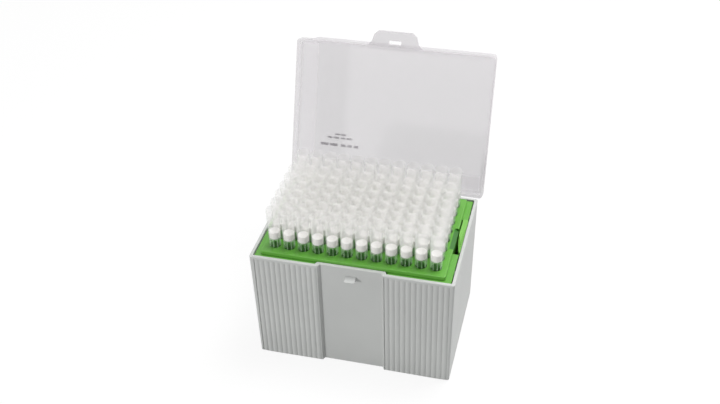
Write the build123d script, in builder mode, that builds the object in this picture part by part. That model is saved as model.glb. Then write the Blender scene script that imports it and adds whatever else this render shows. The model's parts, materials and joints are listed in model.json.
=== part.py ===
from build123d import *
import os
from math import radians, sin

# Box of 96 filter pipette tips, 12 columns by 8 rows, with a hinged lid and a lift-out tip tray.
#
# Millimetres, +Z up. The origin is the centre of the box's flat bottom; the front, with the ribs
# and the latch catch, faces -Y, and the lid hinges at the back, +Y. The lid is exported open,
# leaning back on its stop.

os.makedirs("parts", exist_ok=True)

# Tip grid
pitch = 9.0
columns = 12
rows = 8
row_letters = "abcdefgh"

# Tips: heights are counted from the deck that the tips stand on
tip_below_deck = 74.6
tip_above_deck = 26.8
tip_end_radius = 0.65
tip_end_bore = 0.4
tip_knee = 50.0
tip_knee_radius = 1.75
tip_knee_wall = 0.45
tip_neck_radius = 2.75
tip_neck_wall = 0.4
collar_slope = 0.8
collar_base_wall = 0.5
collar_top_wall = 0.6
socket_radius = 3.75
socket_length = 8.0
fin_count = 8
fin_seat = 0.25
fin_thickness = 0.5
filter_seat = 6.1
filter_radius = 3.3
filter_height = 4.8
filter_fit = 0.05
filter_room = 0.6
filter_chamfer = 0.3

# Tray
tray_fit = 0.75
ledge_side = 4.4
ledge_front = 2.6
ledge_drop = 0.85
ledge_thickness = 2.0
deck_side_margin = 6.9
deck_front_margin = 7.9
deck_rise = 1.8
deck_thickness = 2.0
deck_wall = 1.8
deck_corner = 1.2
deck_inner_corner = 0.6
deck_edge_radius = 0.45
skirt_drop = 8.0
hole_fit = 0.7
sleeve_wall = 0.9
sleeve_length = 8.0

# Release catches of the tray: a sprung tongue in a notch of the ledge, with a finger scoop
tongue_pivot = 19.0
tongue_inset = 0.35
tongue_gap = 0.75
tongue_fit = 0.2
tongue_tip = -12.6
tongue_tip_width = 0.7
tongue_tip_gap = 1.3
tongue_bow = 1.0
tongue_depth = 5.4
tongue_rise = 0.8
barb_centre = -3.0
barb_length = 5.0
barb_height = 1.8
barb_reach = 0.85
barb_root = 0.3
barb_drop = 3.4
pocket_fit = 0.5
pocket_clearance = 0.4
grip_bumps = 9
grip_pitch = 2.0
grip_start = -6.5
grip_radius = 0.5
grip_inset = 0.6
grip_slope_start = 8.0
grip_slope_end = -5.0
grip_slope_drop = 2.4
grip_ridge = 0.6
scoop_front = -12.7
scoop_back = 7.8
scoop_depth = 2.0
cut_margin = 1.0

# Box
box_wall = 1.9
box_floor = 2.0
tip_floor_gap = 4.4
draft_offset = 1.2
corner_radius = 1.4
least_corner = 0.6
rim_chamfer = 0.3
foot_chamfer = 0.8
post_width = 2.4
post_fit = 0.3
post_from_recess = 6.0
post_from_side = 20.7
back_post_place = 14.0
side_post_place = 28.0

# Front of the box: flat recess in the middle, ribbed panels beside it
recess_width = 40.0
recess_depth = 2.2
recess_slope = 1.1
rim_band = 1.9
ribs_per_panel = 12
rib_relief = 0.65
rib_crest_inset = 0.05
rib_corner_margin = 1.6
rib_recess_margin = 0.5

# Lid, in the closed position
lid_fit = 0.35
lid_overlap = 5.2
lid_headroom = 2.7
band_wall = 1.7
band_rise = 1.7
lid_wall = 1.6
lid_top = 1.7
lid_step = 1.35
lid_draft = 1.7
lid_corner_radius = 2.0
lid_edge_radius = 1.5
lid_open_angle = 109.6

# Lid hinge
pin_radius = 1.4
pin_fit = 0.1
clip_wall = 1.35
clip_root = 0.75
clip_width = 9.0
hinge_rise = 0.4
hinge_spacing = 62.0
ear_fit = 0.3
ear_width = 2.4
ear_radius = 1.9
bracket_gap = 0.8
bracket_drop = 13.0
mouth_angle = 100.0
mouth_direction = 30.0
stop_gap = 0.1
stop_height = 1.6

# Latch flap on the lid's front edge, and the nub on the box that its slot clips over
nub_width = 6.4
nub_reach = 4.0
nub_face_height = 0.8
nub_ramp_height = 2.3
nub_slot_gap = 0.7
flap_foot_fit = 1.8
flap_foot_length = 2.8
flap_foot_step = 2.9
flap_shoulder = 7.4
flap_taper = 1.4
flap_length = 10.0
flap_end_width = 22.0
flap_thickness = 1.2
flap_corner = 1.2
flap_fit = 0.1
slot_side_fit = 0.7
slot_start = 1.5
slot_end = 4.0

# Places and sizes worked out from the values above
deck_width = pitch * (columns - 1) + 2 * deck_side_margin
deck_depth = pitch * (rows - 1) + 2 * deck_front_margin
inner_x = deck_width / 2 + ledge_side
inner_y = deck_depth / 2 + ledge_front
box_width = 2 * (inner_x + box_wall)
box_depth = 2 * (inner_y + box_wall)
tip_end_z = box_floor + tip_floor_gap
deck_z = tip_end_z + tip_below_deck
deck_under_z = deck_z - deck_thickness
rim_z = deck_z - deck_rise
ledge_z = rim_z - ledge_drop
ledge_under_z = ledge_z - ledge_thickness
knee_z = deck_z - tip_knee
filter_z = deck_z + filter_seat
tip_top_z = deck_z + tip_above_deck
hole_radius = tip_neck_radius + hole_fit
fin_radius = hole_radius + fin_seat
filter_bore = filter_radius + filter_fit
recess_y = -box_depth / 2 + recess_depth
lid_rim_z = rim_z - lid_overlap
band_top_z = rim_z + band_rise
lid_inner_top_z = tip_top_z + lid_headroom
lid_top_z = lid_inner_top_z + lid_top
band_reach = lid_fit + band_wall
band_front_y = -box_depth / 2 - band_reach
clip_radius = pin_radius + pin_fit + clip_wall
hinge_y = box_depth / 2 + band_reach + clip_radius - clip_root
hinge_z = lid_rim_z + hinge_rise
hinge_axis = Axis((0, hinge_y, hinge_z), (1, 0, 0))
hinge_places = [-hinge_spacing / 2, hinge_spacing / 2]
column_places = [pitch * (i - (columns - 1) / 2) for i in range(columns)]
row_places = [pitch * ((rows - 1) / 2 - j) for j in range(rows)]


def box_size(z):
    """Growth of the drafted box's outline at height z, from the bottom outline."""
    return 2 * draft_offset * z / rim_z


def box_outline(z, inset):
    """Outline of the box at height z, moved inwards by inset, with the recess in its front."""
    width = box_width - 2 * draft_offset + box_size(z) - 2 * inset
    depth = box_depth - 2 * draft_offset + box_size(z) - 2 * inset
    mouth = recess_width / 2 + inset
    floor = mouth - recess_slope
    RectangleRounded(width, depth, max(corner_radius - inset, least_corner))
    with Locations((0, -depth / 2)):
        Polygon(
            (-mouth, 0),
            (-mouth, -recess_depth),
            (mouth, -recess_depth),
            (mouth, 0),
            (floor, recess_depth),
            (-floor, recess_depth),
            align=None,
            mode=Mode.SUBTRACT,
        )


# Box: drafted shell with the recess, ribs, catch nub, tray posts, catch pockets and hinge brackets
panel_inner = recess_width / 2 + rib_recess_margin
panel_outer = box_width / 2 - draft_offset - rib_corner_margin
rib_pitch = (panel_outer - panel_inner) / ribs_per_panel
bottom_front_y = -box_depth / 2 + draft_offset
rib_crest_y = bottom_front_y + rib_crest_inset
rib_foot_y = bottom_front_y + rib_relief
bevel_z = rim_z - rim_chamfer
rib_height = rim_z - rim_band
rib_slope = draft_offset * rib_height / rim_z
rib_direction = Vector(0, -rib_slope, rib_height)
post_depth_y = inner_y - deck_depth / 2 - post_fit
post_depth_x = inner_x - deck_width / 2 - post_fit
nub_z = lid_rim_z - slot_end + nub_slot_gap
pocket_reach = barb_reach - tongue_inset + pocket_clearance
barb_z = ledge_z - barb_drop

with BuildPart() as box_base:
    for low, high in (((0, 0), (bevel_z, 0)), ((bevel_z, 0), (rim_z, rim_chamfer))):
        for z, inset in (low, high):
            with BuildSketch(Plane.XY.offset(z)):
                box_outline(z, inset)
        loft(ruled=True)
    chamfer(box_base.faces().sort_by(Axis.Z)[0].edges(), foot_chamfer)
    for z in (box_floor, rim_z):
        with BuildSketch(Plane.XY.offset(z)):
            box_outline(z, box_wall)
    loft(ruled=True, mode=Mode.SUBTRACT)
    with BuildSketch(Plane.XY):
        for side in (-1, 1):
            cusps = [(side * (panel_inner + rib_pitch * i), rib_foot_y) for i in range(ribs_per_panel + 1)]
            with BuildLine():
                for start, end in zip(cusps, cusps[1:]):
                    ThreePointArc(start, ((start[0] + end[0]) / 2, rib_crest_y), end)
                Polyline(
                    cusps[-1],
                    (cusps[-1][0], bottom_front_y - rib_relief),
                    (cusps[0][0], bottom_front_y - rib_relief),
                    cusps[0],
                )
            make_face()
    extrude(amount=rib_direction.length, dir=rib_direction, mode=Mode.SUBTRACT)
    with BuildSketch(Plane.YZ.offset(-nub_width / 2)):
        Polygon(
            (recess_y + box_wall / 2, nub_z),
            (recess_y - nub_reach, nub_z),
            (recess_y - nub_reach, nub_z + nub_face_height),
            (recess_y, nub_z + nub_ramp_height),
            (recess_y + box_wall / 2, nub_z + nub_ramp_height),
            align=None,
        )
    extrude(amount=nub_width)
    with BuildSketch(Plane.XY.offset(box_floor)):
        for side in (-1, 1):
            outer_post = side * (box_width / 2 - post_from_side)
            for x in (side * (recess_width / 2 + post_from_recess), outer_post):
                with Locations((x, -inner_y + post_depth_y / 2)):
                    Rectangle(post_width, post_depth_y)
            for x in (side * back_post_place, outer_post):
                with Locations((x, inner_y - post_depth_y / 2)):
                    Rectangle(post_width, post_depth_y)
            for y in (-side_post_place, side_post_place):
                with Locations((side * (inner_x - post_depth_x / 2), y)):
                    Rectangle(post_depth_x, post_width)
    extrude(amount=ledge_under_z - box_floor)
    for side in (-1, 1):
        with Locations((side * inner_x, barb_centre, barb_z)):
            Box(2 * pocket_reach, barb_length + 2 * pocket_fit, barb_height + pocket_fit, mode=Mode.SUBTRACT)
    for x in hinge_places:
        for side in (-1, 1):
            near = x + side * (clip_width / 2 + ear_fit)
            with BuildSketch(Plane.YZ.offset(min(near, near + side * ear_width))):
                with Locations((hinge_y, hinge_z)):
                    Circle(ear_radius)
                Polygon(
                    (box_depth / 2 - box_wall / 2, lid_rim_z - bracket_drop),
                    (hinge_y + ear_radius, hinge_z),
                    (hinge_y - ear_radius, hinge_z),
                    (hinge_y - ear_radius, lid_rim_z - bracket_gap),
                    (box_depth / 2 - box_wall / 2, lid_rim_z - bracket_gap),
                    align=None,
                )
            extrude(amount=ear_width)
        with Locations(Location((x, hinge_y, hinge_z), (0, 90, 0))):
            Cylinder(pin_radius, clip_width + 2 * ear_fit + ear_width)
box_base.part.label = "box_base"


# Tray frame: ledge that sits on the posts, and the raised wall round the deck
ledge_x = inner_x - tray_fit
tongue_width = ledge_side - tongue_inset - tongue_gap
notch_front = tongue_tip - tongue_tip_gap
notch_back = tongue_pivot + tongue_width / 2 + tongue_fit
notch_width = ledge_x - deck_width / 2 + cut_margin
skirt_z = ledge_under_z - skirt_drop
scoop_inner_x = column_places[-1] + hole_radius + sleeve_wall


def deck_outline():
    """Outline of the deck inside the tray frame's wall."""
    RectangleRounded(deck_width - 2 * deck_wall, deck_depth - 2 * deck_wall, deck_inner_corner)


def scoop_outline(side):
    """Section of the finger scoop on one side, sloping down to the catch's notch."""
    Polygon(
        (side * scoop_inner_x, deck_z),
        (side * deck_width / 2, deck_z - scoop_depth),
        (side * (deck_width / 2 + cut_margin), deck_z - scoop_depth),
        (side * (deck_width / 2 + cut_margin), deck_z + cut_margin),
        (side * scoop_inner_x, deck_z + cut_margin),
        align=None,
    )


with BuildPart() as tip_tray:
    with BuildSketch(Plane.XY.offset(ledge_under_z)):
        box_outline(rim_z, box_wall + tray_fit)
    extrude(amount=ledge_thickness)
    with BuildSketch(Plane.XY.offset(skirt_z)):
        RectangleRounded(deck_width, deck_depth, deck_corner)
    extrude(amount=deck_z - skirt_z)
    fillet(tip_tray.edges().group_by(Axis.Z)[-1], deck_edge_radius)
    with BuildSketch(Plane.XY.offset(skirt_z)):
        deck_outline()
    extrude(amount=deck_z - skirt_z, mode=Mode.SUBTRACT)
    for side in (-1, 1):
        with BuildSketch(Plane.XY.offset(ledge_under_z)):
            with Locations((side * (deck_width + notch_width) / 2, (notch_front + notch_back) / 2)):
                Rectangle(notch_width, notch_back - notch_front)
        extrude(amount=ledge_thickness, mode=Mode.SUBTRACT)
        with BuildSketch(Plane.XZ.offset(-scoop_back)):
            scoop_outline(side)
        extrude(amount=scoop_back - scoop_front, mode=Mode.SUBTRACT)
tip_tray.part.label = "tip_tray"


# Deck that fills the frame: a plate with a sleeved hole for each tip
with BuildPart() as tray_deck:
    with BuildSketch(Plane.XY.offset(deck_under_z)):
        deck_outline()
    extrude(amount=deck_thickness)
    with BuildSketch(Plane.XY.offset(deck_under_z - sleeve_length)):
        with GridLocations(pitch, pitch, columns, rows):
            Circle(hole_radius + sleeve_wall)
    extrude(amount=sleeve_length)
    with BuildSketch(Plane.XY.offset(deck_under_z - sleeve_length)):
        with GridLocations(pitch, pitch, columns, rows):
            Circle(hole_radius)
    extrude(amount=sleeve_length + deck_thickness, mode=Mode.SUBTRACT)
    for side in (-1, 1):
        with BuildSketch(Plane.XZ.offset(-scoop_back)):
            scoop_outline(side)
        extrude(amount=scoop_back - scoop_front, mode=Mode.SUBTRACT)
tray_deck.part.label = "tray_deck"


# Catches: the right one, and the left one as its mirror image
tongue_outer_x = inner_x - tongue_inset
tongue_inner_x = tongue_outer_x - tongue_width
tongue_centre_x = (tongue_outer_x + tongue_inner_x) / 2
tongue_top_z = ledge_z + tongue_rise
tongue_bottom_z = tongue_top_z - tongue_depth
straight_end = tongue_pivot - 2 * tongue_width
tip_inner_x = tongue_outer_x - tongue_tip_width
far_x = tongue_inner_x - tongue_bow - cut_margin
bow_middle = Vector(
    (tongue_inner_x + tip_inner_x) / 2 - tongue_bow,
    (straight_end + tongue_tip) / 2,
)

with BuildPart() as tray_catch_right:
    with BuildSketch(Plane.XY.offset(tongue_bottom_z)):
        with BuildLine():
            Line((tongue_outer_x, tongue_pivot), (tongue_outer_x, tongue_tip))
            Line((tongue_outer_x, tongue_tip), (tip_inner_x, tongue_tip))
            ThreePointArc((tip_inner_x, tongue_tip), bow_middle, (tongue_inner_x, straight_end))
            Line((tongue_inner_x, straight_end), (tongue_inner_x, tongue_pivot))
            ThreePointArc(
                (tongue_inner_x, tongue_pivot),
                (tongue_centre_x, tongue_pivot + tongue_width / 2),
                (tongue_outer_x, tongue_pivot),
            )
        make_face()
    extrude(amount=tongue_top_z - tongue_bottom_z)
    with BuildSketch(Plane.XZ.offset(-(barb_centre + barb_length / 2))):
        Polygon(
            (tongue_outer_x - barb_root, barb_z - barb_height / 2),
            (tongue_outer_x, barb_z - barb_height / 2),
            (tongue_outer_x + barb_reach, barb_z + barb_height / 4),
            (tongue_outer_x + barb_reach, barb_z + barb_height / 2),
            (tongue_outer_x - barb_root, barb_z + barb_height / 2),
            align=None,
        )
    extrude(amount=barb_length)
    for y, ridge_x in (
        (grip_slope_start, far_x + cut_margin),
        (grip_slope_end, tongue_outer_x - grip_ridge),
        (tongue_tip - cut_margin, tongue_outer_x - grip_ridge),
    ):
        with BuildSketch(Plane.XZ.offset(-y)):
            Polygon(
                (ridge_x, tongue_top_z),
                (far_x, tongue_top_z - grip_slope_drop),
                (far_x, tongue_top_z + cut_margin),
                (ridge_x, tongue_top_z + cut_margin),
                align=None,
            )
    loft(ruled=True, mode=Mode.SUBTRACT)
    for i in range(grip_bumps):
        with Locations((tongue_outer_x - grip_inset, grip_start + grip_pitch * i, tongue_top_z)):
            Sphere(grip_radius)
tray_catch_right.part.label = "tray_catch_right"

tray_catch_left = tray_catch_right.part.mirror(Plane.YZ)
tray_catch_left.label = "tray_catch_left"


# Lid: band that slips over the box's rim, a step that rests on it, drafted cover, hinge clips
def lid_outline(grow, radius):
    """Rounded outline that is grow wider on each side than the box's rim."""
    RectangleRounded(box_width + 2 * grow, box_depth + 2 * grow, radius)


cover_reach = band_reach - lid_step

with BuildPart() as lid_closed:
    with BuildSketch(Plane.XY.offset(lid_rim_z)):
        lid_outline(band_reach, lid_corner_radius)
    extrude(amount=band_top_z - lid_rim_z)
    for z, reach in ((band_top_z, cover_reach), (lid_top_z, cover_reach - lid_draft)):
        with BuildSketch(Plane.XY.offset(z)):
            lid_outline(reach, lid_corner_radius)
    loft(ruled=True)
    fillet(lid_closed.faces().sort_by(Axis.Z)[-1].edges(), lid_edge_radius)
    with BuildSketch(Plane.XY.offset(lid_rim_z)):
        lid_outline(lid_fit, corner_radius + lid_fit)
    extrude(amount=lid_overlap, mode=Mode.SUBTRACT)
    for z, reach in ((rim_z, cover_reach), (lid_inner_top_z, cover_reach - lid_draft)):
        with BuildSketch(Plane.XY.offset(z)):
            lid_outline(reach - lid_wall, lid_corner_radius - lid_wall / 2)
    loft(ruled=True, mode=Mode.SUBTRACT)
    for x in hinge_places:
        with BuildSketch(Plane.YZ.offset(x - clip_width / 2)):
            with Locations((hinge_y, hinge_z)):
                Circle(clip_radius)
                with Locations(Location((0, 0), mouth_direction)):
                    Polygon(
                        (0, 0),
                        (2 * clip_radius, -2 * clip_radius * sin(radians(mouth_angle / 2))),
                        (2 * clip_radius, 2 * clip_radius * sin(radians(mouth_angle / 2))),
                        align=None,
                        mode=Mode.SUBTRACT,
                    )
                Circle(pin_radius + pin_fit, mode=Mode.SUBTRACT)
        extrude(amount=clip_width)

with BuildPart() as lid:
    add(lid_closed.part.rotate(hinge_axis, -lid_open_angle))
    stop_face_y = box_depth / 2 + stop_gap
    for x in hinge_places:
        with BuildSketch(Plane.YZ.offset(x - clip_width / 2)):
            with Locations((stop_face_y, hinge_z - clip_radius)):
                Rectangle(hinge_y - stop_face_y - pin_radius, stop_height, align=Align.MIN)
        extrude(amount=clip_width)
lid.part.label = "lid"


# Latch flap, in the closed lid's frame with the flap folded out, then turned with the lid
flap_base_y = band_front_y - flap_fit
flap_foot_x = recess_width / 2 - flap_foot_fit
flap_side_x = flap_foot_x - flap_foot_step
with BuildPart() as flap_closed:
    with BuildSketch(Plane.XY.offset(lid_rim_z)):
        with BuildLine():
            outline = Polyline(
                (0, flap_base_y),
                (flap_foot_x, flap_base_y),
                (flap_side_x, flap_base_y - flap_foot_length),
                (flap_side_x - flap_taper, flap_base_y - flap_shoulder),
                (flap_end_width / 2, flap_base_y - flap_length),
                (0, flap_base_y - flap_length),
            )
            mirror(outline, about=Plane.YZ)
        make_face()
        with Locations((0, flap_base_y - (slot_start + slot_end) / 2)):
            Rectangle(nub_width + 2 * slot_side_fit, slot_end - slot_start, mode=Mode.SUBTRACT)
    extrude(amount=flap_thickness)
    corners = flap_closed.edges().filter_by(Axis.Z).group_by(Axis.Y)
    fillet(corners[0] + corners[1], flap_corner)

latch_flap = flap_closed.part.rotate(hinge_axis, -lid_open_angle)
latch_flap.label = "latch_flap"


# Tips and filters: one of each, then a row of twelve
tip_neck_bore = tip_neck_radius - tip_neck_wall
fin_root = tip_neck_radius - tip_neck_wall / 2

with BuildPart() as tip:
    with BuildSketch(Plane.XZ):
        with BuildLine():
            Polyline(
                (tip_end_bore, tip_end_z),
                (tip_end_radius, tip_end_z),
                (tip_knee_radius, knee_z),
                (tip_neck_radius, deck_z),
                (tip_neck_radius, filter_z - collar_slope),
                (filter_bore + collar_base_wall, filter_z),
                (socket_radius + collar_top_wall, tip_top_z),
                (socket_radius, tip_top_z),
                (socket_radius, tip_top_z - socket_length),
                (filter_bore, filter_z + filter_height + filter_room),
                (filter_bore, filter_z),
                (tip_neck_bore, filter_z),
                (tip_neck_bore, deck_z),
                (tip_knee_radius - tip_knee_wall, knee_z),
                close=True,
            )
        make_face()
    revolve(axis=Axis.Z)
    with BuildSketch(Plane.XY.offset(deck_z)):
        with PolarLocations((fin_root + fin_radius) / 2, fin_count):
            Rectangle(fin_radius - fin_root, fin_thickness)
    extrude(amount=filter_seat)

with BuildPart() as tip_filter:
    with BuildSketch(Plane.XY.offset(filter_z)):
        Circle(filter_radius)
    extrude(amount=filter_height)
    chamfer(tip_filter.edges(), filter_chamfer)


def place_row(shape, y):
    """Copies of a shape at every column of the row at y, as separate solids."""
    return Compound(children=[shape.moved(Location((x, y, 0))) for x in column_places])


tip_rows = {}
filter_rows = {}
for letter, y in zip(row_letters, row_places):
    tip_rows[letter] = place_row(tip.part.solid(), y)
    tip_rows[letter].label = f"tips_row_{letter}"
    filter_rows[letter] = place_row(tip_filter.part.solid(), y)
    filter_rows[letter].label = f"filters_row_{letter}"

export_step(box_base.part, "parts/box_base.step")
export_step(tip_tray.part, "parts/tip_tray.step")
export_step(tray_deck.part, "parts/tray_deck.step")
export_step(tray_catch_right.part, "parts/tray_catch_right.step")
export_step(tray_catch_left, "parts/tray_catch_left.step")
export_step(lid.part, "parts/lid.step")
export_step(latch_flap, "parts/latch_flap.step")
for letter in row_letters:
    export_step(tip_rows[letter], f"parts/tips_row_{letter}.step")
    export_step(filter_rows[letter], f"parts/filters_row_{letter}.step")
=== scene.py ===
# %% [markdown]
# # A box of filter pipette tips
# The box stands open. Its grey base holds a green tray, 96 clear tips stand in the tray's holes, and a
# frosted lid leans back on its hinge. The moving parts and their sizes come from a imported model, the
# frame. This notebook gives each visible surface its finish and models what needs finer shapes.

# %% Load the frame
import json
import math
import random

import bpy
from mathutils import Matrix, Vector


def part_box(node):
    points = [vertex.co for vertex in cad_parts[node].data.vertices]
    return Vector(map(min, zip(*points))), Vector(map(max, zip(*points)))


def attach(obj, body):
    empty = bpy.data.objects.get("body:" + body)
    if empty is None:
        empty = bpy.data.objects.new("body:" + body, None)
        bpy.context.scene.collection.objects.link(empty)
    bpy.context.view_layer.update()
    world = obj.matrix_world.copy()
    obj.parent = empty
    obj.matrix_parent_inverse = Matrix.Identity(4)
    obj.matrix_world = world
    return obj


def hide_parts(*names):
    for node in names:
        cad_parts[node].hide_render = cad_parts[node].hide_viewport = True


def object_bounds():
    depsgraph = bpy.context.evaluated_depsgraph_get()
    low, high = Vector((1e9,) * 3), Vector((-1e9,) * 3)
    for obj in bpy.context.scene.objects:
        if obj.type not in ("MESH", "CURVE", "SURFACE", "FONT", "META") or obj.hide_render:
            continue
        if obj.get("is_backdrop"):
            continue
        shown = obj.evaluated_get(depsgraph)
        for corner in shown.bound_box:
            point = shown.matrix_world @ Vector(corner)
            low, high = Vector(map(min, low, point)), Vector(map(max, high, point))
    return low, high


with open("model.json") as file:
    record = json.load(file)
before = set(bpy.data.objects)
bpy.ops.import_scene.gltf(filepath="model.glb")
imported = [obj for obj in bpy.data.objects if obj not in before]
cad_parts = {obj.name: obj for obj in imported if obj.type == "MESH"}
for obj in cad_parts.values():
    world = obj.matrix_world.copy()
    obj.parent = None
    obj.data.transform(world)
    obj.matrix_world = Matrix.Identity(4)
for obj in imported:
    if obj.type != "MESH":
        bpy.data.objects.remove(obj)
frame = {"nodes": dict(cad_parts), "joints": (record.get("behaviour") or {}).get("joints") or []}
nodes = frame["nodes"]
cad_low, cad_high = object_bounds()
MM = 0.001
print("frame loaded:", len(nodes), "nodes, size", [round(s / MM, 1) for s in cad_high - cad_low])

# %% [markdown]
# ## Small helpers
# A colour is written as a web hex value, as a colour picker shows it, and one function turns it into
# the linear values that the shader adds up. One function adds a shader node with its settings and its
# links: a socket is named, or numbered after an underscore where several share a name.


# %% Colour and node helpers
def linear(hex_colour):
    """An sRGB hex colour as the linear RGBA that the sockets take."""
    parts = [int(hex_colour[i : i + 2], 16) / 255 for i in (1, 3, 5)]
    return [p / 12.92 if p <= 0.04045 else ((p + 0.055) / 1.055) ** 2.4 for p in parts] + [1.0]


def add_node(tree, kind, settings=None, **sockets):
    """Adds a shader node. A socket's value is a number, a colour, or another node's output."""
    node = tree.nodes.new("ShaderNode" + kind)
    for name, value in (settings or {}).items():
        setattr(node, name, value)
    for name, value in sockets.items():
        key = int(name[1:]) if name[1:].isdigit() else name.replace("_", " ")
        if isinstance(value, bpy.types.NodeSocket):
            tree.links.new(value, node.inputs[key])
        else:
            node.inputs[key].default_value = value
    return node


def new_finish(name):
    """A material without nodes, and its node tree."""
    finish = bpy.data.materials.new(name)
    finish.use_nodes = True
    finish.node_tree.nodes.clear()
    return finish, finish.node_tree


def dress(piece, finish):
    """Gives one finish to a whole piece."""
    piece.data.materials.clear()
    piece.data.materials.append(finish)


# %% [markdown]
# ## The grey base: injection-moulded polypropylene
# Opaque polypropylene from a finely eroded mould has a soft, even sheen and a grain of a few tenths
# of a millimetre. A noise bump breaks up the highlights, and a slow cloud of tone keeps the large
# panels from looking printed. The same recipe serves the tray, so it can also paint one part of a
# moulding a second colour: on the tray, the floor of each finger scoop gets painted shade.


# %% Grey polypropylene
CLOUD_SIZE = 40 * MM


def inside_box(tree, place, low, high):
    """1 where a place lies in a box, on either side of the middle plane in X, and 0 elsewhere."""
    parts = add_node(tree, "SeparateXYZ", Vector=place)
    across = add_node(tree, "Math", {"operation": "ABSOLUTE"}, _0=parts.outputs["X"])
    share = 1.0
    for socket, start, end in zip((across.outputs[0], parts.outputs["Y"], parts.outputs["Z"]), low, high):
        near = add_node(
            tree, "Math", {"operation": "COMPARE"}, _0=socket, _1=(start + end) / 2, _2=(end - start) / 2
        )
        share = add_node(tree, "Math", {"operation": "MULTIPLY"}, _0=share, _1=near.outputs[0]).outputs[0]
    return share


def moulded_plastic(name, hex_colour, roughness, grain_mm, grain_depth_mm, tone=0.03, shade_patch=None):
    """Opaque moulded plastic with a slow drift of tone and a fine grain.

    A box, given as a low corner, a high corner and a colour, gets that colour as painted shade.
    """
    finish, tree = new_finish(name)
    place = add_node(tree, "TexCoord").outputs["Object"]
    drift = add_node(tree, "TexNoise", Vector=place, Scale=1 / CLOUD_SIZE, Detail=2.0)
    shade = add_node(
        tree, "MapRange", Value=drift.outputs["Fac"], From_Min=0.3, From_Max=0.7,
        To_Min=1 - tone, To_Max=1 + tone,
    )
    colour = add_node(
        tree, "Mix", {"data_type": "RGBA", "blend_type": "MULTIPLY"}, Factor=1.0,
        _6=linear(hex_colour), _7=shade.outputs["Result"],
    )
    if shade_patch:
        low, high, shade_hex = shade_patch
        inside = inside_box(tree, place, low, high)
        colour = add_node(
            tree, "Mix", {"data_type": "RGBA"}, Factor=inside, _6=colour.outputs[2], _7=linear(shade_hex)
        )
    grain = add_node(tree, "TexNoise", Vector=place, Scale=1 / (grain_mm * MM), Detail=3.0)
    bump = add_node(tree, "Bump", Height=grain.outputs["Fac"], Distance=grain_depth_mm * MM, Strength=1.0)
    shader = add_node(
        tree, "BsdfPrincipled", Base_Color=colour.outputs[2], Roughness=roughness, IOR=1.49,
        Normal=bump.outputs["Normal"],
    )
    add_node(tree, "OutputMaterial", Surface=shader.outputs["BSDF"])
    return finish


base_finish = moulded_plastic("moulded_grey_polypropylene", "#C6C8C6", 0.48, 0.45, 0.02)
dress(nodes["box_base"], base_finish)

# %% [markdown]
# ## The green tray
# The tray is the same plastic with a pigment, from a smoother mould, so it shines a little more. The
# floor of each finger scoop, beside a catch, gets a darker green, painted shade that stops just under
# the deck's top face. The tongues of the catches get a lighter green, painted light, and a coarser
# grain than the tray.

# %% Green polypropylene
SCOOP_INNER, SCOOP_OUTER = 53.8 * MM, 56.5 * MM
SCOOP_FRONT, SCOOP_BACK = -12.7 * MM, 7.8 * MM
SCOOP_DEPTH, TOP_SKIN = 2.1 * MM, 0.03 * MM
deck_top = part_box("tip_tray")[1].z
# Painted shade: the scoop floors, in this box of the tray, get a darker green down to just under the deck's
# top face.
scoop_shade_low = Vector((SCOOP_INNER, SCOOP_FRONT, deck_top - SCOOP_DEPTH))
scoop_shade_high = Vector((SCOOP_OUTER, SCOOP_BACK, deck_top - TOP_SKIN))
tray_finish = moulded_plastic(
    "moulded_green_polypropylene", "#66AA42", 0.30, 0.6, 0.012, 0.04, (scoop_shade_low, scoop_shade_high, "#347224")
)
# The tongues' lighter green is painted light, for the light that falls on their raised tops; the coarser
# grain is a bump.
painted_light_grip_finish = moulded_plastic("green_finger_grip_painted_light", "#7DBD56", 0.34, 0.9, 0.02, 0.04)
for node in ("tip_tray", "tray_deck"):
    dress(nodes[node], tray_finish)
for node in ("tray_catch_right", "tray_catch_left"):
    dress(nodes[node], painted_light_grip_finish)
print("tray dressed, scoop floors from x", SCOOP_INNER / MM, "to", SCOOP_OUTER / MM)


# %% [markdown]
# ## The frosted lid
# Natural polypropylene is milky: some light goes straight through, and the rest scatters. About half
# of what scatters comes back, from a principled shader with alpha, and the rest goes on, from a
# translucent one. Both shares rise where the wall is seen edge on, as the way through is longer there.
# Walls in a crowd pass light from one to the next many times, more often than rays can follow, so a
# finish can also let more light through to what lies behind it than its own look would say.


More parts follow.
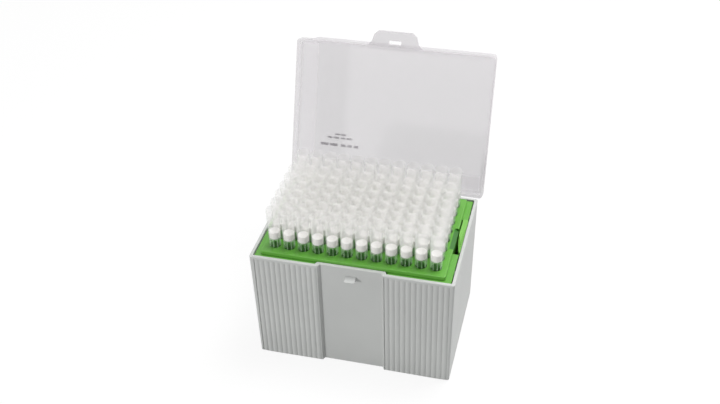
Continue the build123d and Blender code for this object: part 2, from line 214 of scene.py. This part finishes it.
# %% Milky polypropylene
def milky_plastic(
    name, face_hex, painted_edge_hex, roughness, face_share, edge_share,
    grain_mm=0.7, grain_depth_mm=0.01, shade_share=1.0,
):
    """Thin translucent plastic: a scattering share for a face and an edge, a colour for a face, a painted one
    for an edge.

    The shade share is the part of the scattering that also holds light back as a shadow.
    """
    finish, tree = new_finish(name)
    place = add_node(tree, "TexCoord").outputs["Object"]
    grain = add_node(tree, "TexNoise", Vector=place, Scale=1 / (grain_mm * MM), Detail=2.0)
    bump = add_node(tree, "Bump", Height=grain.outputs["Fac"], Distance=grain_depth_mm * MM, Strength=1.0)
    facing = add_node(tree, "LayerWeight", Blend=0.35)
    seen_half = add_node(
        tree, "MapRange", Value=facing.outputs["Facing"], From_Min=0.0, From_Max=1.0,
        To_Min=face_share / 2, To_Max=edge_share / 2,
    )
    paths = add_node(tree, "LightPath")
    kept = add_node(tree, "MapRange", Value=paths.outputs["Is Shadow Ray"], To_Min=1.0, To_Max=shade_share)
    half = add_node(
        tree, "Math", {"operation": "MULTIPLY"}, _0=seen_half.outputs["Result"], _1=kept.outputs["Result"]
    )
    # Painted light and shade: where the wall is seen edge on, the colour turns to the edge colour, which
    # stands for what refraction shows there.
    edge = add_node(tree, "MapRange", Value=facing.outputs["Facing"], From_Min=0.3, From_Max=0.85)
    tint = add_node(
        tree, "Mix", {"data_type": "RGBA"}, Factor=edge.outputs["Result"],
        _6=linear(face_hex), _7=linear(painted_edge_hex),
    )
    back = add_node(
        tree, "BsdfPrincipled", Base_Color=tint.outputs[2], Roughness=roughness, IOR=1.49,
        Alpha=half.outputs[0], Normal=bump.outputs["Normal"],
    )
    through = add_node(tree, "BsdfTranslucent", Color=tint.outputs[2])
    body = add_node(
        tree, "MixShader", _0=half.outputs[0], _1=back.outputs["BSDF"], _2=through.outputs["BSDF"]
    )
    add_node(tree, "OutputMaterial", Surface=body.outputs[0])
    return finish


# The lid's lighter edge colour is painted light along the parts of the wall seen edge on.
lid_finish = milky_plastic("frosted_polypropylene", "#D8D5D8", "#F8F6F8", 0.38, 0.42, 0.9)
for node in ("lid", "latch_flap"):
    dress(nodes[node], lid_finish)

# %% [markdown]
# ## The filters
# Each tip holds a plug of sintered polyethylene: white grains fused together, so the surface is matte
# and pitted. A cell pattern at the size of the grains gives the pits.

# %% Sintered polyethylene
ROW_LETTERS = "abcdefgh"
BEAD_SIZE, PIT_DEPTH = 0.35 * MM, 0.05 * MM


def sintered_plastic(name, hex_colour):
    """Fused white beads: matte, with a pit and a slightly darker tone round each bead."""
    finish, tree = new_finish(name)
    place = add_node(tree, "TexCoord").outputs["Object"]
    beads = add_node(tree, "TexVoronoi", Vector=place, Scale=1 / BEAD_SIZE)
    speckle = add_node(
        tree, "MapRange", Value=beads.outputs["Distance"], From_Min=0.0, From_Max=0.8, To_Min=1.0, To_Max=0.88
    )
    colour = add_node(
        tree, "Mix", {"data_type": "RGBA", "blend_type": "MULTIPLY"}, Factor=1.0,
        _6=linear(hex_colour), _7=speckle.outputs["Result"],
    )
    pits = add_node(tree, "Bump", Height=beads.outputs["Distance"], Distance=PIT_DEPTH, Strength=1.0)
    shader = add_node(
        tree, "BsdfPrincipled", Base_Color=colour.outputs[2], Roughness=0.85, Normal=pits.outputs["Normal"]
    )
    add_node(tree, "OutputMaterial", Surface=shader.outputs["BSDF"])
    return finish


filter_finish = sintered_plastic("sintered_white_polyethylene", "#ECEAE8")
for letter in ROW_LETTERS:
    dress(nodes["filters_row_" + letter], filter_finish)
print("filters dressed in", len(ROW_LETTERS), "rows")

# %% [markdown]
# ## One tip
# A tip is turned round its own axis, so its wall is drawn as a half outline, point by point, and spun.
# The outline runs up the outside, over the rim and down the inside, and closes at the open end. Eight
# fins stand round the neck. They rest on the tray and carry the collar above them. One fin is made
# from a cube with its edges bevelled, and spun into eight copies.

# %% Sizes of the tips, read from the frame
COLUMNS = 12
FILTER_SEAT = 6.1 * MM
row_low, row_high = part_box("tips_row_a")
filter_low, filter_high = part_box("filters_row_a")
tip_end, tip_top = row_low.z, row_high.z
pitch = (filter_high.x - filter_low.x - (filter_high.y - filter_low.y)) / (COLUMNS - 1)
filter_bottom, filter_top = filter_low.z, filter_high.z
rim_radius = (row_high.y - row_low.y) / 2
deck = filter_bottom - FILTER_SEAT
print("pitch", round(pitch / MM, 2), "tip", round(tip_end / MM, 1), "to", round(tip_top / MM, 1))


# %% Drawing and spinning a half outline
MERGE_GAP = 0.01 * MM


def start_empty(name):
    """A new mesh object at the origin, in edit mode, with one vertex left to draw from."""
    bpy.ops.object.select_all(action="DESELECT")
    bpy.ops.mesh.primitive_plane_add(size=MM, location=(0, 0, 0))
    piece = bpy.context.object
    piece.name = name
    piece.data.name = name
    bpy.ops.object.mode_set(mode="EDIT")
    bpy.ops.mesh.select_all(action="SELECT")
    bpy.ops.mesh.merge(type="CENTER")
    return piece


def turned(name, outline, steps):
    """Spins a closed half outline, given as (radius, height) in metres, round the Z axis."""
    piece = start_empty(name)
    here = Vector((0, 0, 0))
    first = Vector((outline[0][0], 0, outline[0][1]))
    bpy.ops.transform.translate(value=first - here)
    here = first
    for radius, height in outline[1:] + outline[:1]:
        there = Vector((radius, 0, height))
        bpy.ops.mesh.extrude_region_move(TRANSFORM_OT_translate={"value": there - here})
        here = there
    bpy.ops.mesh.select_all(action="SELECT")
    bpy.ops.mesh.remove_doubles(threshold=MERGE_GAP)
    bpy.ops.mesh.spin(steps=steps, angle=2 * math.pi, center=(0, 0, 0), axis=(0, 0, 1))
    bpy.ops.mesh.select_all(action="SELECT")
    bpy.ops.mesh.remove_doubles(threshold=MERGE_GAP)
    bpy.ops.mesh.normals_make_consistent(inside=False)
    bpy.ops.object.mode_set(mode="OBJECT")
    return piece


TIP_STEPS = 28
knee = deck - 50.0 * MM
neck_radius = 2.75 * MM
outside = [
    (0.40 * MM, tip_end),
    (0.65 * MM, tip_end),
    (1.75 * MM, knee),
    (neck_radius, deck),
    (neck_radius, filter_bottom - 0.8 * MM),
    (3.85 * MM, filter_bottom),
    (3.97 * MM, filter_top),
]
rim = [
    (rim_radius - 0.12 * MM, tip_top - 2.2 * MM),
    (rim_radius, tip_top - 2.0 * MM),
    (rim_radius, tip_top - 0.2 * MM),
    (rim_radius - 0.15 * MM, tip_top),
    (3.90 * MM, tip_top),
    (3.75 * MM, tip_top - 0.3 * MM),
]
inside = [
    (3.72 * MM, tip_top - 8.0 * MM),
    (3.40 * MM, filter_top + 0.6 * MM),
    (3.36 * MM, filter_bottom),
    (neck_radius - 0.4 * MM, filter_bottom - 0.1 * MM),
    (neck_radius - 0.4 * MM, deck),
    (1.30 * MM, knee),
]
tip = turned("tip", outside + rim + inside, TIP_STEPS)
print("tip wall:", len(tip.data.polygons), "faces")

# %% Fins round the neck
FIN_COUNT = 8
fin_in, fin_out = neck_radius - 0.1 * MM, 3.7 * MM
fin_wide, fin_bevel = 0.5 * MM, 0.12 * MM
bpy.ops.object.select_all(action="DESELECT")
bpy.ops.mesh.primitive_cube_add(size=1, location=((fin_in + fin_out) / 2, 0, (deck + filter_bottom) / 2))
fins = bpy.context.object
fins.name = "fins"
fins.scale = (fin_out - fin_in, fin_wide, filter_bottom - deck)
bpy.ops.object.transform_apply(location=True, rotation=True, scale=True)
bpy.ops.object.mode_set(mode="EDIT")
bpy.ops.mesh.select_all(action="SELECT")
bpy.ops.mesh.bevel(offset=fin_bevel, segments=1)
bpy.ops.mesh.select_all(action="SELECT")
bpy.ops.mesh.spin(steps=FIN_COUNT, angle=2 * math.pi, dupli=True, center=(0, 0, 0), axis=(0, 0, 1))
bpy.ops.mesh.select_all(action="SELECT")
bpy.ops.mesh.remove_doubles(threshold=MERGE_GAP)
bpy.ops.mesh.normals_make_consistent(inside=False)
bpy.ops.object.mode_set(mode="OBJECT")
print("fins:", len(fins.data.polygons), "faces")

# %% [markdown]
# ## Four finishes on a tip
# The collar is milky, and its rim is polished by the mould and much clearer. The neck and the stem are
# thin, so the tray's dark hole shows between the fins. Their green, and the pale green of the fins, is
# painted light: the green of the tray round them.

# %% Clear and milky parts of a tip
RIPPLE_SIZE_MM, RIPPLE_DEPTH_MM = 3.0, 0.006
RIM_BAND, COLLAR_FOOT = 0.35 * MM, 0.4 * MM


def tip_plastic(name, face_hex, painted_edge_hex, roughness, face_share, edge_share, shade_share):
    """Milky plastic from a polished mould, with slow ripples in place of a grain."""
    return milky_plastic(
        name, face_hex, painted_edge_hex, roughness, face_share, edge_share,
        RIPPLE_SIZE_MM, RIPPLE_DEPTH_MM, shade_share,
    )


# The darker edge colours of the collar and the rim are painted shade, for the dark lines that refraction
# draws along a tube's sides.
tip_finishes = [
    tip_plastic("milky_tip_polypropylene", "#F6F5F4", "#CACECB", 0.22, 0.27, 0.32, 0.6),
    # The greens of the neck and the fins are painted light, for the tray's green that shows through and round
    # them.
    tip_plastic("clear_tip_painted_green", "#86B87C", "#86B87C", 0.12, 0.14, 0.20, 0.9),
    tip_plastic("fin_painted_green", "#CFE6CA", "#CFE6CA", 0.20, 0.30, 0.50, 0.9),
    tip_plastic("clear_rim_polypropylene", "#F4F3F2", "#BCC0BD", 0.22, 0.06, 0.12, 0.9),
]
COLLAR, NECK, FIN, RIM = range(len(tip_finishes))
for finish in tip_finishes:  # both pieces get the same finishes, so the join keeps the numbers
    tip.data.materials.append(finish)
    fins.data.materials.append(finish)
for face in tip.data.polygons:
    face.material_index = COLLAR
    if face.center.z > tip_top - RIM_BAND:
        face.material_index = RIM
    if face.center.z < filter_bottom - COLLAR_FOOT:
        face.material_index = NECK
for face in fins.data.polygons:
    face.material_index = FIN
print("tip finishes:", [finish.name for finish in tip_finishes])

# %% Join the fins to the tip
SMOOTH_BELOW = math.radians(32)
bpy.ops.object.select_all(action="DESELECT")
fins.select_set(True)
tip.select_set(True)
bpy.context.view_layer.objects.active = tip
bpy.ops.object.join()
bpy.ops.object.shade_smooth_by_angle(angle=SMOOTH_BELOW)
print("one tip:", len(tip.data.polygons), "faces")

# %% [markdown]
# ## Eight rows of twelve
# Tips are dropped in at any turn, so each copy is turned by its own seeded angle before it goes to its
# place. The twelve of a row are joined, and the row stands for the row of solids in the frame.

# %% Rows of tips
random.seed(96)
first_tip_x = filter_low.x + (filter_high.y - filter_low.y) / 2
for letter in ROW_LETTERS:
    low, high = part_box("tips_row_" + letter)
    bpy.ops.object.select_all(action="DESELECT")
    for column in range(COLUMNS):
        one = tip.copy()
        one.data = tip.data.copy()
        bpy.context.scene.collection.objects.link(one)
        turn = Matrix.Rotation(random.uniform(0, 2 * math.pi), 4, "Z")
        one.data.transform(Matrix.Translation((first_tip_x + column * pitch, (low.y + high.y) / 2, 0)) @ turn)
        one.select_set(True)
        bpy.context.view_layer.objects.active = one
    bpy.ops.object.join()
    row = bpy.context.object
    row.name = "tips_" + letter
    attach(row, "box")
    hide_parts("tips_row_" + letter)
bpy.data.objects.remove(tip)
print("a row has", len(row.data.polygons), "faces")

# %% [markdown]
# ## Print on the lid
# The lid's top carries a few printed lines. Plain bars stand for them: thin plates of ink that lie on
# the outer face, so they show through the frosted plastic from the inside. They are laid out on the
# closed lid and then swung open with it. Screen ink is a thin layer, so some light comes through it.

# %% Printed bars
lid_joint = next(j for j in frame["joints"] if j["name"] == "lid_hinge")
hinge = Vector(lid_joint["pos_m"])
open_angle = math.radians(lid_joint["range_deg"][1])
swing = Matrix.Translation(hinge) @ Matrix.Rotation(-open_angle, 4, "X") @ Matrix.Translation(-hinge)
closed_lid_top = 112.2 * MM
ink_thick, ink_gap = 0.03 * MM, 0.01 * MM
bars = [  # x from, x to, y from, y to, in millimetres on the closed lid
    (-45.4, -41.9, 23.3, 24.5), (-41.3, -37.6, 23.3, 24.5),
    (-50.9, -47.2, 25.8, 27.0), (-46.6, -42.6, 25.8, 27.0),
    (-41.1, -37.8, 25.8, 27.0), (-37.2, -33.0, 25.8, 27.0),
    (-55.4, -49.9, 30.6, 32.4), (-48.8, -43.3, 30.6, 32.4),
    (-40.9, -37.5, 30.6, 32.4), (-36.3, -32.9, 30.6, 32.4), (-31.7, -28.3, 30.6, 32.4),
]
ink_height = closed_lid_top + ink_thick / 2 + ink_gap
plates = []
for x0, x1, y0, y1 in bars:
    bpy.ops.object.select_all(action="DESELECT")
    bpy.ops.mesh.primitive_cube_add(size=1, location=((x0 + x1) / 2 * MM, (y0 + y1) / 2 * MM, ink_height))
    plate = bpy.context.object
    plate.scale = ((x1 - x0) * MM, (y1 - y0) * MM, ink_thick)
    bpy.ops.object.transform_apply(location=True, rotation=True, scale=True)
    plates.append(plate)
for plate in plates:
    plate.select_set(True)
bpy.context.view_layer.objects.active = plates[0]
bpy.ops.object.join()
print_bars = bpy.context.object
print_bars.name = "print_bars"
print_bars.data.transform(swing)
print("printed bars:", len(bars))

# %% Screen ink
DOT_SIZE, INK_COVER = 0.5 * MM, 0.7


def screen_ink(name, dark_hex, light_hex):
    """Matte ink, patchy at the size of the screen's dots, that covers only a share of what lies behind."""
    finish, tree = new_finish(name)
    place = add_node(tree, "TexCoord").outputs["Object"]
    dots = add_node(tree, "TexNoise", Vector=place, Scale=1 / DOT_SIZE, Detail=1.0)
    tone = add_node(
        tree, "Mix", {"data_type": "RGBA"}, Factor=dots.outputs["Fac"],
        _6=linear(dark_hex), _7=linear(light_hex),
    )
    ink = add_node(tree, "BsdfPrincipled", Base_Color=tone.outputs[2], Roughness=0.55, Alpha=INK_COVER)
    add_node(tree, "OutputMaterial", Surface=ink.outputs["BSDF"])
    return finish


ink_finish = screen_ink("grey_screen_ink", "#B2B0B5", "#C4C2C6")
dress(print_bars, ink_finish)
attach(print_bars, "lid")
print("ink:", ink_finish.name)

# %% [markdown]
# ## Floor, light and camera
# A pale floor runs out past the view. It glows white for the rays that see it, and a small share of it
# stays matte, so that the box keeps a faint soft shadow. The world is white behind everything and dimmer
# as a light. One large lamp high up, behind and to the right, lights the tops and the lid. A small one,
# low in front on the left, draws the ribs and the nub's shadow, and a weak one lifts the right side.

# %% Floor
FLOOR_SIZE, FLOOR_GAP = 12.0, 0.02 * MM
bpy.ops.object.select_all(action="DESELECT")
bpy.ops.mesh.primitive_plane_add(size=FLOOR_SIZE, location=(0, 0, cad_low.z - FLOOR_GAP))
floor = bpy.context.object
floor.name = "floor"
print("floor:", FLOOR_SIZE, "m wide")


# %% White to the eye
def seen_share(tree):
    """1 for rays that see a surface directly, by gloss or by transmission, and 0 for all others."""
    paths = add_node(tree, "LightPath")
    direct = add_node(
        tree, "Math", {"operation": "MAXIMUM"},
        _0=paths.outputs["Is Camera Ray"], _1=paths.outputs["Is Glossy Ray"],
    )
    seen = add_node(
        tree, "Math", {"operation": "MAXIMUM"}, _0=direct.outputs[0], _1=paths.outputs["Is Transmission Ray"]
    )
    return seen.outputs[0]


def pale_floor(name, glow_share):
    """A floor that mostly glows white where it is seen, and is a matte grey for all other light."""
    finish, tree = new_finish(name)
    seen = seen_share(tree)
    share = add_node(tree, "Math", {"operation": "MULTIPLY"}, _0=seen, _1=glow_share)
    colour = add_node(
        tree, "Mix", {"data_type": "RGBA"}, Factor=seen, _6=linear("#A4A4A4"), _7=linear("#FFFFFF")
    )
    matte = add_node(tree, "BsdfDiffuse", Color=colour.outputs[2])
    glow = add_node(tree, "Emission", Color=(1, 1, 1, 1), Strength=1.0)
    both = add_node(tree, "MixShader", _0=share.outputs[0], _1=matte.outputs[0], _2=glow.outputs[0])
    add_node(tree, "OutputMaterial", Surface=both.outputs[0])
    return finish


dress(floor, pale_floor("pale_floor", 0.88))
floor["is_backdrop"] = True

# %% World
WORLD_LIGHT = 0.42
world = bpy.data.worlds.new("pale_studio")
bpy.context.scene.world = world
world.use_nodes = True
sky_tree = world.node_tree
sky_tree.nodes.clear()
strength = add_node(sky_tree, "MapRange", Value=seen_share(sky_tree), To_Min=WORLD_LIGHT, To_Max=1.0)
sky = add_node(sky_tree, "Background", Color=(1, 1, 1, 1), Strength=strength.outputs["Result"])
add_node(sky_tree, "OutputWorld", Surface=sky.outputs[0])
print("world:", world.name)

# %% Lamps
AIM_HEIGHT = 80 * MM


def area_lamp(name, place, size, power):
    """A square soft lamp that points at the middle of the box."""
    data = bpy.data.lights.new(name, "AREA")
    data.shape = "SQUARE"
    data.size = size
    data.energy = power
    lamp = bpy.data.objects.new(name, data)
    bpy.context.scene.collection.objects.link(lamp)
    lamp.location = place
    aim = Vector((0, 0, AIM_HEIGHT)) - Vector(place)
    lamp.rotation_euler = aim.to_track_quat("-Z", "Y").to_euler()
    print(name, "at", place)


area_lamp("lamp_above", (0.30, 0.30, 1.20), 0.6, 12.0)
area_lamp("lamp_left", (-0.75, -0.96, 0.27), 0.10, 5.9)
area_lamp("lamp_right", (1.10, 0.30, 0.15), 0.6, 3.0)

# %% Camera
view_point = Vector((0.1235, -0.4782, 0.4592))
view_yaw, view_pitch, view_roll = -0.261, 0.631, -0.025
ahead = Vector((
    math.sin(view_yaw) * math.cos(view_pitch),
    math.cos(view_yaw) * math.cos(view_pitch),
    -math.sin(view_pitch),
))
level_right = Vector((math.cos(view_yaw), -math.sin(view_yaw), 0))
level_up = level_right.cross(ahead)
right = math.cos(view_roll) * level_right + math.sin(view_roll) * level_up
up = -math.sin(view_roll) * level_right + math.cos(view_roll) * level_up
lens = bpy.data.cameras.new("camera")
lens.sensor_width = 36.0
lens.lens = 50.0
camera = bpy.data.objects.new("camera", lens)
bpy.context.scene.collection.objects.link(camera)
camera_turn = Matrix((right, up, -ahead)).transposed().to_4x4()
camera.matrix_world = Matrix.Translation(view_point) @ camera_turn
bpy.context.scene.camera = camera
bpy.context.scene.view_settings.view_transform = "Standard"
print("camera:", lens.lens, "mm lens")

# %% [markdown]
# ## Enough bounces for a crowd of clear walls
# A ray can cross dozens of thin walls among the tips, and light goes from wall to wall many times. With
# too few bounces the inside of the crowd would turn dark.

# %% Bounces
cycles = bpy.context.scene.cycles
cycles.transparent_max_bounces = 64
cycles.max_bounces = 24
cycles.diffuse_bounces = 24
print("bounces:", cycles.max_bounces, "and", cycles.transparent_max_bounces, "through clear walls")

# %% Sizes, and the end
low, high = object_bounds()
